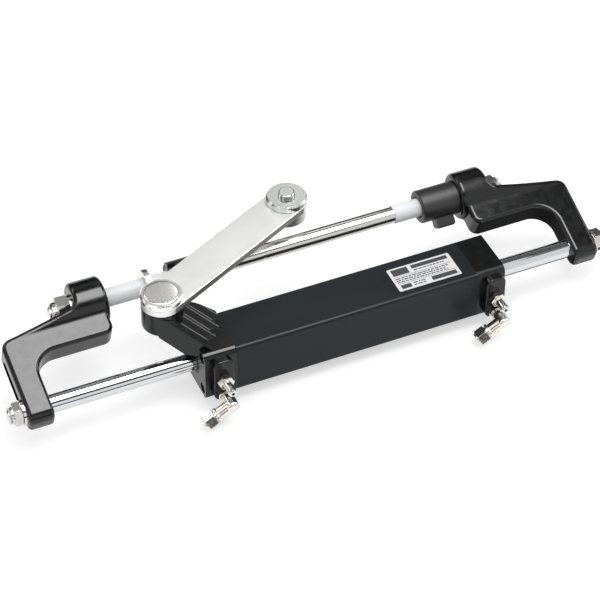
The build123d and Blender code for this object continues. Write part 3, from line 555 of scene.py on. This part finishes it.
def skin(name, rings, body, slot, material, loop=False):
    """Mesh from an array (rings, points, 3). The last ring joins the first where loop is true."""
    count, width, _ = rings.shape
    last = count if loop else count - 1
    row = np.arange(last)[:, None] * width
    after = (np.arange(last)[:, None] + 1) % count * width
    here, beside = np.arange(width)[None, :], (np.arange(width)[None, :] + 1) % width
    quads = np.stack([row + here, row + beside, after + beside, after + here], axis=-1).reshape(-1, 4)
    points, faces = rings.reshape(-1, 3), quads.tolist()
    if not loop:
        points = np.vstack([points, rings[0].mean(axis=0), rings[-1].mean(axis=0)])
        start, end = count * width, count * width + 1
        for at in range(width):
            faces.append([start, (at + 1) % width, at])
            faces.append([end, start - width + at, start - width + (at + 1) % width])
    mesh = bpy.data.meshes.new(name)
    mesh.from_pydata(points.tolist(), [], faces)
    mesh.polygons.foreach_set("use_smooth", np.ones(len(mesh.polygons), bool))
    mesh.validate()
    mesh.materials.append(material)
    piece = bpy.data.objects.new(name, mesh)
    bpy.context.scene.collection.objects.link(piece)
    outward(piece)
    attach(piece, body)
    return piece


def outward(piece):
    """Turn the faces outward: the signed volume of a closed skin is positive when they are."""
    mesh = piece.data
    mesh.calc_loop_triangles()
    corner = np.empty(len(mesh.loop_triangles) * 3, int)
    mesh.loop_triangles.foreach_get("vertices", corner)
    place_of = np.empty(len(mesh.vertices) * 3)
    mesh.vertices.foreach_get("co", place_of)
    a, b, c = place_of.reshape(-1, 3)[corner.reshape(-1, 3)].transpose(1, 0, 2)
    if np.einsum("ij,ij->", a, np.cross(b, c)) < 0:
        mesh.flip_normals()


print("helpers:", skin.__name__, "and", outward.__name__)

# %% [markdown]
# ## The crowned cap
#
# The cap over the link's pivot is not flat: inside its rim the face steps up and rises gently to
# the middle. A bump could fake the step, but it would stay flat when seen from the side, and the
# mesh would lack it. The solid has the plain cap, and the crown is turned on top of it: a profile
# of radius and height, carried once round the bolt's axis.

# %% Turn the crown
CROWN = (
    (14.6, -0.2), (14.6, 0.1), (14.3, 0.35), (13.8, 0.5), (13.0, 0.6),
    (10.5, 0.78), (7.5, 0.92), (4.0, 1.02), (1.0, 1.05),
)
CROWN_STEPS = 96


def crown(node, profile, body, slot, material):
    """Rings of a low dome about the vertical axis of a solid, resting on its top."""
    centre, top = middle_of(node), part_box(node)[1].z
    turn = np.linspace(0, 2 * math.pi, CROWN_STEPS, endpoint=False)
    radius, height = (np.array(profile) * MM).T
    x = centre.x + radius[:, None] * np.cos(turn)[None, :]
    y = centre.y + radius[:, None] * np.sin(turn)[None, :]
    z = np.broadcast_to((top + height)[:, None], x.shape)
    return skin(f"{node}_crown", np.stack([x, y, z], axis=-1), body, slot, material)


crown("pivot_bolt", CROWN, "cylinder", "cap_steel", CAP_STEEL["pivot_bolt"])
print("crown stands", CROWN[-1][1], "mm above the cap")

# %% [markdown]
# ## Threads on the rod ends
#
# The support rod and the piston rod end in threads that stand a little out of their nuts. A
# thread is one ridge wound round the rod. Rings piled side by side would look much the same, but
# they have no lead, and it shows where the ridge runs out. The profile here is a low triangle
# carried along a helix, and at both ends it fades into the core, as a rolled thread does. The
# solids have plain ends, so the ridge is laid on them.

# %% Wind the threads
PITCH = 1.25 * MM
THREAD_CORE = 5.75 * MM
THREAD_RISE = 0.35 * MM
THREAD_STEPS = 48
FADE_ANGLE = 1.2
FADE_LEFT = 0.02
RIDGE_ALONG = (-0.45, 0.0, 0.45, 0.0)
RIDGE_OUT = (-0.2, 1.0, -0.2, -0.6)


def thread(name, axis_point, start, end, body, slot, material):
    """Ridge on a rod along X: at turn a its top is at x = start + pitch / 2 + pitch * a / (2 pi)."""
    turns = (end - start - PITCH) / PITCH
    angle = np.linspace(0, 2 * math.pi * turns, int(THREAD_STEPS * turns) + 1)
    fade = np.clip(np.minimum(angle, angle[-1] - angle) / FADE_ANGLE, FADE_LEFT, 1)
    across = np.array(RIDGE_ALONG) * PITCH
    rise = np.array(RIDGE_OUT) * THREAD_RISE
    x = start + PITCH / 2 + PITCH * angle[:, None] / (2 * math.pi) + across * fade[:, None]
    radius = THREAD_CORE + rise * fade[:, None]
    y = axis_point.y + radius * np.cos(angle)[:, None]
    z = axis_point.z + radius * np.sin(angle)[:, None]
    return skin(name, np.stack([x, y, z], axis=-1), body, slot, material)


for rod, nut in (("support_rod", "tube_nut"), ("piston_rod", "rod_nut")):
    low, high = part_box(rod)
    for side, end in (("left", low.x), ("right", high.x)):
        nut_low, nut_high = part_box(f"{nut}_{side}")
        face = nut_low.x if side == "left" else nut_high.x
        start, stop = min(face, end), max(face, end)
        axis_point = (nut_low + nut_high) / 2
        ridge = thread(f"{rod}_thread_{side}", axis_point, start, stop, "frame", "fastener_steel",
                       METALS["fastener_steel"])
        print(ridge.name, "from", round(start / MM, 1), "to", round(stop / MM, 1), "mm")

# %% [markdown]
# ## Locking inserts
#
# A lock nut grips its bolt with a nylon ring that is rolled into its collar. Only a thin edge
# shows at the mouth. A white stripe in the nut's material would do from far away, but the ring
# stands proud of the steel, so it is a small rounded section carried once round the rod.

# %% Nylon inserts
INSERT_R = 6.75 * MM
INSERT_W = 0.62 * MM
INSERT_PROUD = 0.12 * MM
INSERT_STEPS = 72
SECTION_STEPS = 12


def insert(name, face, outward_sign, centre):
    """Ring whose section is an ellipse, half sunk in the nut's face."""
    round_way = np.linspace(0, 2 * math.pi, INSERT_STEPS, endpoint=False)
    section = np.linspace(0, 2 * math.pi, SECTION_STEPS, endpoint=False)
    radius = INSERT_R + INSERT_W * np.cos(section)[None, :]
    y = centre.y + radius * np.cos(round_way)[:, None]
    z = centre.z + radius * np.sin(round_way)[:, None]
    x = np.broadcast_to(face + outward_sign * INSERT_PROUD * np.sin(section)[None, :], y.shape)
    return skin(name, np.stack([x, y, z], axis=-1), "frame", "nylon", FINISHES["nylon"], loop=True)


for nut in ("tube_nut", "rod_nut"):
    for side, sign in (("left", -1), ("right", 1)):
        low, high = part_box(f"{nut}_{side}")
        insert(f"{nut}_insert_{side}", high.x if sign > 0 else low.x, sign, (low + high) / 2)
print("four nylon inserts, ring radius", INSERT_R / MM, "mm")

# %% [markdown]
# ## The plate on the barrel
#
# A thin foil label sits on top of the barrel, near its right end. It could be a patch of colour
# in the barrel's own material, but real foil has a thickness, and its edge catches the light.
# The foil, and later each mark on it, is a thin rounded rectangle, closed all round.

# %% Thin rounded patches
CORNER_POINTS = 8


def rounded_outline(width, depth, corner):
    """Points round a rectangle with quarter-circle corners."""
    quarter = np.linspace(0, math.pi / 2, CORNER_POINTS)
    turns = np.concatenate([quarter + k * math.pi / 2 for k in range(4)])
    middle = np.repeat([[1, 1], [-1, 1], [-1, -1], [1, -1]], CORNER_POINTS, axis=0)
    middle = middle * [width / 2 - corner, depth / 2 - corner]
    return middle + corner * np.stack([np.cos(turns), np.sin(turns)], axis=-1)


def flat_patch(name, centre, size, corner, bottom, thick, slot, material):
    """Thin rounded rectangle lying at the height bottom: one outline below, one above, both closed."""
    outline = rounded_outline(*size, corner)
    levels = np.array([bottom, bottom + thick])[:, None, None] * np.ones((2, len(outline), 1))
    rings = np.concatenate([np.stack([outline + centre] * 2), levels], axis=-1)
    patch = skin(name, rings, "cylinder", slot, material)
    patch.data.polygons.foreach_set("use_smooth", np.zeros(len(patch.data.polygons), bool))
    return patch


print("each outline has", 4 * CORNER_POINTS, "points")

# %% [markdown]
# ## Foil and ink
#
# Printed foil is neither bare metal nor white paint. It could be a blend of two shaders, but a
# little metal in one satin surface looks the same. The ink is a thin dry film, so it is a dark
# grey that varies slightly, and not a pure black.

# %% Foil and ink
FOIL_DARK = (0.70, 0.71, 0.72)
FOIL_LIGHT = (0.76, 0.77, 0.78)
FOIL_ROUGH = (0.32, 0.44)
FOIL_GRAIN = 2500
INK_DARK = (0.025, 0.025, 0.027)
INK_LIGHT = (0.045, 0.045, 0.048)
INK_FILM = 1800


def label_foil():
    """Silver-white printed foil, satin with a faint grain."""
    material, tree, shader = finish("label foil", (0.72, 0.73, 0.74), metal=0.25, rough=0.38)
    grain = noise(tree, place(tree), FOIL_GRAIN, detail=2.0)
    dull(tree, shader, grain, *FOIL_ROUGH)
    dye(tree, shader, grain, FOIL_DARK, FOIL_LIGHT)
    return material


def label_ink():
    """Black print with a slightly dry, uneven film."""
    material, tree, shader = finish("label ink", (0.03, 0.03, 0.032), rough=0.45)
    dye(tree, shader, noise(tree, place(tree), INK_FILM, detail=2.0), INK_DARK, INK_LIGHT)
    return material


foil, ink = label_foil(), label_ink()
print("label finishes:", foil.name, "and", ink.name)

# %% Lay the foil
LABEL_SIZE = (58.7 * MM, 29.0 * MM)
LABEL_FROM_RIGHT = 11.7 * MM
LABEL_FROM_FRONT = 8.0 * MM
LABEL_CORNER = 1.2 * MM
FOIL = 0.12 * MM

barrel_low, barrel_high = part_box("barrel")
label_centre = np.array([
    barrel_high.x - LABEL_FROM_RIGHT - LABEL_SIZE[0] / 2,
    barrel_low.y + LABEL_FROM_FRONT + LABEL_SIZE[1] / 2,
])
flat_patch("label_foil", label_centre, LABEL_SIZE, LABEL_CORNER, barrel_high.z, FOIL, "link_steel", foil)
print("label", [round(v / MM, 1) for v in LABEL_SIZE], "mm")

# %% [markdown]
# ## Plain marks
#
# What is printed on the real label is left off: this one carries only bars, rules, boxes and rows
# of dashes. A picture could carry them, but flat patches need no file and stay sharp however
# close the camera comes. The lengths of the dashes are drawn at random from a fixed seed, so
# every run prints the same.

# %% Print them
# Each mark's centre and size are shares of the label, with x to the right and y to the back
RULE = 0.014
PRINT = {
    "band": (-0.32, 0.30, 0.26, 0.28),
    "title": (0.16, 0.36, 0.58, 0.15),
    "upper_rule": (0.0, 0.105, 0.92, RULE),
    "lower_rule": (0.0, -0.20, 0.92, RULE),
    "left_box": (-0.36, -0.34, 0.16, 0.17),
    "right_box": (0.25, -0.34, 0.40, 0.17),
}
# Rows of plain dashes stand for lines of small print: height on the label, left end, right end
ROWS = (
    (0.21, -0.12, 0.45), (0.03, -0.45, 0.45), (-0.05, -0.45, 0.40), (-0.13, -0.45, 0.45),
    (-0.29, -0.24, 0.0), (-0.38, -0.24, 0.0),
)
DASH = (0.025, 0.075)
DASH_GAP = 0.012
DASH_DEPTH = 0.042
INK = 0.02 * MM
INK_CORNER = 0.3 * MM
INK_CORNER_SHARE = 0.4

draw = np.random.default_rng(5)
for row, (y, left, right) in enumerate(ROWS):
    at, count = left, 0
    while at < right - DASH[1]:
        width = draw.uniform(*DASH)
        PRINT[f"dash_{row}_{count}"] = (at + width / 2, y, width, DASH_DEPTH)
        at, count = at + width + DASH_GAP, count + 1
for field, (x, y, width, depth) in PRINT.items():
    size = (width * LABEL_SIZE[0], depth * LABEL_SIZE[1])
    centre = label_centre + np.array([x, y]) * LABEL_SIZE
    corner = min(INK_CORNER, INK_CORNER_SHARE * min(size))
    flat_patch(f"label_{field}", centre, size, corner, barrel_high.z + FOIL, INK, "moulded_black", ink)
print("printed", len(PRINT), "plain marks")

# %% [markdown]
# ## A plain room
#
# The object stands over white paper in a white room. More light would whiten the paper, but it
# would wash out the black castings too. So the paper and the room are full white only to the
# camera and in reflections, and the light that they shed on the object is weaker.

# %% What only the camera and mirrors see


def seen_or_mirrored(tree):
    """1 for camera, glossy and transmission rays, and 0 for light that falls on a surface."""
    path = tree.nodes.new("ShaderNodeLightPath")
    total = path.outputs["Is Camera Ray"]
    for ray in ("Is Glossy Ray", "Is Transmission Ray"):
        join = tree.nodes.new("ShaderNodeMath")
        join.operation = "MAXIMUM"
        tree.links.new(total, join.inputs[0])
        tree.links.new(path.outputs[ray], join.inputs[1])
        total = join.outputs[0]
    return total


print("helper:", seen_or_mirrored.__name__)

# %% Floor
FLOOR_SIZE = 8.0
FLOOR_DROP = 0.2 * MM
FLOOR_GLOW = 0.5


def floor_material():
    """Matt white paper that adds a little of its own white for the camera, so it stays pale."""
    material, tree, shader = finish("white floor", (0.72, 0.72, 0.72), rough=0.9, gloss=0.1)
    shader.inputs["Emission Color"].default_value = (1, 1, 1, 1)
    glow = tree.nodes.new("ShaderNodeMath")
    glow.operation = "MULTIPLY"
    glow.inputs[1].default_value = FLOOR_GLOW
    tree.links.new(seen_or_mirrored(tree), glow.inputs[0])
    tree.links.new(glow.outputs[0], shader.inputs["Emission Strength"])
    return material


floor_mesh = bpy.data.meshes.new("floor")
half = FLOOR_SIZE / 2
floor_z = cad_box[0].z - FLOOR_DROP
floor_corners = [(x, y, floor_z) for x, y in ((-half, -half), (half, -half), (half, half), (-half, half))]
floor_mesh.from_pydata(floor_corners, [], [(0, 1, 2, 3)])
floor_mesh.materials.append(floor_material())
floor = bpy.data.objects.new("floor", floor_mesh)
bpy.context.scene.collection.objects.link(floor)
print("floor at", round(floor_z / MM, 1), "mm")

# %% World
ROOM_LIGHT = 0.75
ROOM_SEEN = 1.0

world = bpy.data.worlds.new("white room")
world.use_nodes = True
bpy.context.scene.world = world
sky = world.node_tree.nodes["Background"]
strength = world.node_tree.nodes.new("ShaderNodeMapRange")
strength.inputs["To Min"].default_value = ROOM_LIGHT
strength.inputs["To Max"].default_value = ROOM_SEEN
world.node_tree.links.new(seen_or_mirrored(world.node_tree), strength.inputs["Value"])
world.node_tree.links.new(strength.outputs["Result"], sky.inputs["Strength"])
sky.inputs["Color"].default_value = (1, 1, 1, 1)
print("room sheds", ROOM_LIGHT, "and shows", ROOM_SEEN)

# %% [markdown]
# ## Lamps
#
# One soft box overhead and two weaker windows at the sides light the object evenly. A sun or a
# spot would be simpler, but it draws hard shadows, and these are wide enough to keep them soft.
# The overhead box and the right window are left out of reflections, where they would show as
# patches: what the metal mirrors is set apart, below.

# %% Soft boxes
# Each lamp's centre, the point it faces, its width and height, its radiance, and if it is mirrored
LAMPS = {
    "overhead": ((0.14, -0.15, 1.12), (0.0, -0.03, 0.0), (0.70, 0.80), 2.7, False),
    "left window": ((-1.3, -0.5, 0.9), (0, 0, 0), (0.5, 0.9), 1.0, True),
    "right window": ((1.4, 0.3, 0.8), (0, 0, 0), (0.4, 0.8), 1.9, False),
}


def soft_box(name, centre, aim, size, radiance, mirrored):
    """Rectangular lamp whose face is as bright as radiance; its power is pi times that times its area."""
    light = bpy.data.lights.new(name, "AREA")
    light.shape = "RECTANGLE"
    light.size, light.size_y = size
    light.energy = radiance * math.pi * size[0] * size[1]
    lamp = bpy.data.objects.new(name, light)
    lamp.location = centre
    lamp.rotation_mode = "QUATERNION"
    lamp.rotation_quaternion = (Vector(aim) - Vector(centre)).to_track_quat("-Z", "Y")
    lamp.visible_camera = False
    lamp.visible_glossy = mirrored
    bpy.context.scene.collection.objects.link(lamp)


for name, settings in LAMPS.items():
    soft_box(name, *settings)
print("lamps:", ", ".join(LAMPS))

# %% [markdown]
# ## What the gloss reflects
#
# Gloss black and chrome show nothing but what stands around them, so the surroundings are part
# of the finish. An environment picture would fix them once for all. Cards can be moved one at a
# time: a tunnel of long cards along X stands round the object, and only reflections see it. A
# bright diffuser above the left half turns the flat top of the left arm light grey, a dark
# ceiling keeps the right arm black, and darker cards between brighter ones draw the bands along
# the rods. All cards belong to the stage, not to the object.

# %% A card, and a strip of the tunnel
TUNNEL_AXIS = (-0.074, -0.027)


def card(name, points, radiance):
    """Four-cornered card that glows evenly and is seen only in reflections."""
    mesh = bpy.data.meshes.new(name)
    mesh.from_pydata(points, [], [(0, 1, 2, 3)])
    paint, _, shader = finish(name, (0.0, 0.0, 0.0), rough=0.9, gloss=0.0)
    shader.inputs["Emission Color"].default_value = (1, 1, 1, 1)
    shader.inputs["Emission Strength"].default_value = radiance
    mesh.materials.append(paint)
    piece = bpy.data.objects.new(name, mesh)
    piece.visible_camera = False
    piece.visible_diffuse = False
    piece.visible_shadow = False
    bpy.context.scene.collection.objects.link(piece)


def strip(name, angles, span, radiance, reach):
    """Card along X between two angles of the tunnel, where 0 is overhead and 90 in front."""
    points = []
    for angle, ends in zip(angles, (span, span[::-1])):
        turn = math.radians(angle)
        y, z = TUNNEL_AXIS[0] - reach * math.sin(turn), TUNNEL_AXIS[1] + reach * math.cos(turn)
        points += [(x, y, z) for x in ends]
    card(name, points, radiance)


print("helpers:", card.__name__, "and", strip.__name__)

# %% Hang the strips
TUNNEL_R = 1.15
DIFFUSER_R = 1.1
LOW_FLAG_R = 0.26
# Each strip's two angles in degrees, its two ends along X, its radiance, and its distance
STRIPS = {
    "back wall": ((-88, -54), (-2.5, 2.5), 0.04, TUNNEL_R),
    "back left gap": ((-52, -37), (-0.3, 0.27), 0.42, TUNNEL_R),
    "back left panel": ((-52, -37), (-1.3, -0.45), 5.0, TUNNEL_R),
    "back panel": ((-52, -37), (0.27, 0.45), 1.7, TUNNEL_R),
    "back right gap": ((-52, -37), (0.465, 2.6), 0.1, TUNNEL_R),
    "back ceiling": ((-35, -15), (-2.5, 2.5), 0.08, TUNNEL_R),
    "diffuser": ((-14, 28), (-0.22, 0.47), 12.0, DIFFUSER_R),
    "right ceiling": ((-14, 1), (0.50, 2.5), 0.10, TUNNEL_R),
    "right ceiling front": ((1, 28), (0.66, 2.5), 0.20, TUNNEL_R),
    "camera side": ((35, 54), (-2.5, 0.45), 0.10, TUNNEL_R),
    "front panel": ((55, 83), (-2.5, 0.45), 1.1, TUNNEL_R),
    "front low flag": ((85, 104), (-0.6, 0.14), 0.08, LOW_FLAG_R),
}

for name, settings in STRIPS.items():
    strip(name, *settings)
print("strips:", ", ".join(STRIPS))

# %% [markdown]
# ## Two single cards
#
# The lug's ribs face another way than everything else, so no strip of the tunnel reaches them: a
# small card high on the right gives them their glint. The floor under the right end lies in shade,
# so a dark sheet on it there is painted shade: the lower edges of the right end mirror it and not
# white floor. A strip could be bent to do either, but it would change the rods as well.

# %% Glint and painted floor shade
# The glint card's middle, and the way from it to the middle of one side and of the upper edge
GLINT = np.array([1.26, -0.12, 0.81])
GLINT_SIDE = np.array([0, 0.24, 0])
GLINT_UP = np.array([-0.12, 0, 0.20])
GLINT_RADIANCE = 10.0

corners = [GLINT + side * GLINT_SIDE + up * GLINT_UP for side, up in ((-1, -1), (1, -1), (1, 1), (-1, 1))]
card("rib glint", [tuple(corner) for corner in corners], GLINT_RADIANCE)

# Painted shade: a dark sheet on the floor under the right end, where the arm's shade falls.
SHADE_SHEET_X = (0.16, 0.33)
SHADE_SHEET_Y = (-0.085, 0.03)
SHADE_SHEET_Z = floor_z + 1 * MM
SHADE_SHEET_RADIANCE = 0.12

left, right, front, back = *SHADE_SHEET_X, *SHADE_SHEET_Y
corners = [(x, y, SHADE_SHEET_Z) for x, y in ((left, front), (right, front), (right, back), (left, back))]
card("painted floor shade", corners, SHADE_SHEET_RADIANCE)
print("glint at", GLINT.tolist(), "and painted shade sheet from", SHADE_SHEET_X[0], "to", SHADE_SHEET_X[1], "m along X")

# %% [markdown]
# ## The camera
#
# The viewpoint was worked out from the photograph: the long edges of the rods and the barrel
# meet far away to the sides, which gives the direction, and the real sizes give the distance.
# Aiming by eye would be quicker, but then no length could be compared with the photograph. The
# lens is long, so the rods look nearly parallel.

# %% Camera at the photograph's angle
CAMERA_TURN = math.radians(23.680)
CAMERA_DROP = math.radians(42.814)
CAMERA_DISTANCE = 2127.25 * MM
CAMERA_AIM = Vector((-2.29, -43.58, -24.80)) * MM
SENSOR = 36.0
FOCAL_IN_WIDTHS = 4.13228
FARTHEST_SEEN = 50

forward = Vector((
    math.sin(CAMERA_TURN) * math.cos(CAMERA_DROP),
    math.cos(CAMERA_TURN) * math.cos(CAMERA_DROP),
    -math.sin(CAMERA_DROP),
))
right = Vector((math.cos(CAMERA_TURN), -math.sin(CAMERA_TURN), 0))
up = right.cross(forward)
camera_data = bpy.data.cameras.new("camera")
camera_data.sensor_width = SENSOR
camera_data.lens = FOCAL_IN_WIDTHS * SENSOR
camera_data.clip_end = FARTHEST_SEEN
camera = bpy.data.objects.new("camera", camera_data)
camera.matrix_world = Matrix((right, up, -forward)).transposed().to_4x4()
camera.location = CAMERA_AIM - CAMERA_DISTANCE * forward
bpy.context.scene.collection.objects.link(camera)
bpy.context.scene.camera = camera
bpy.context.scene.view_settings.view_transform = "Standard"
print("camera at", [round(v, 3) for v in camera.location], "lens", round(camera_data.lens, 1), "mm")
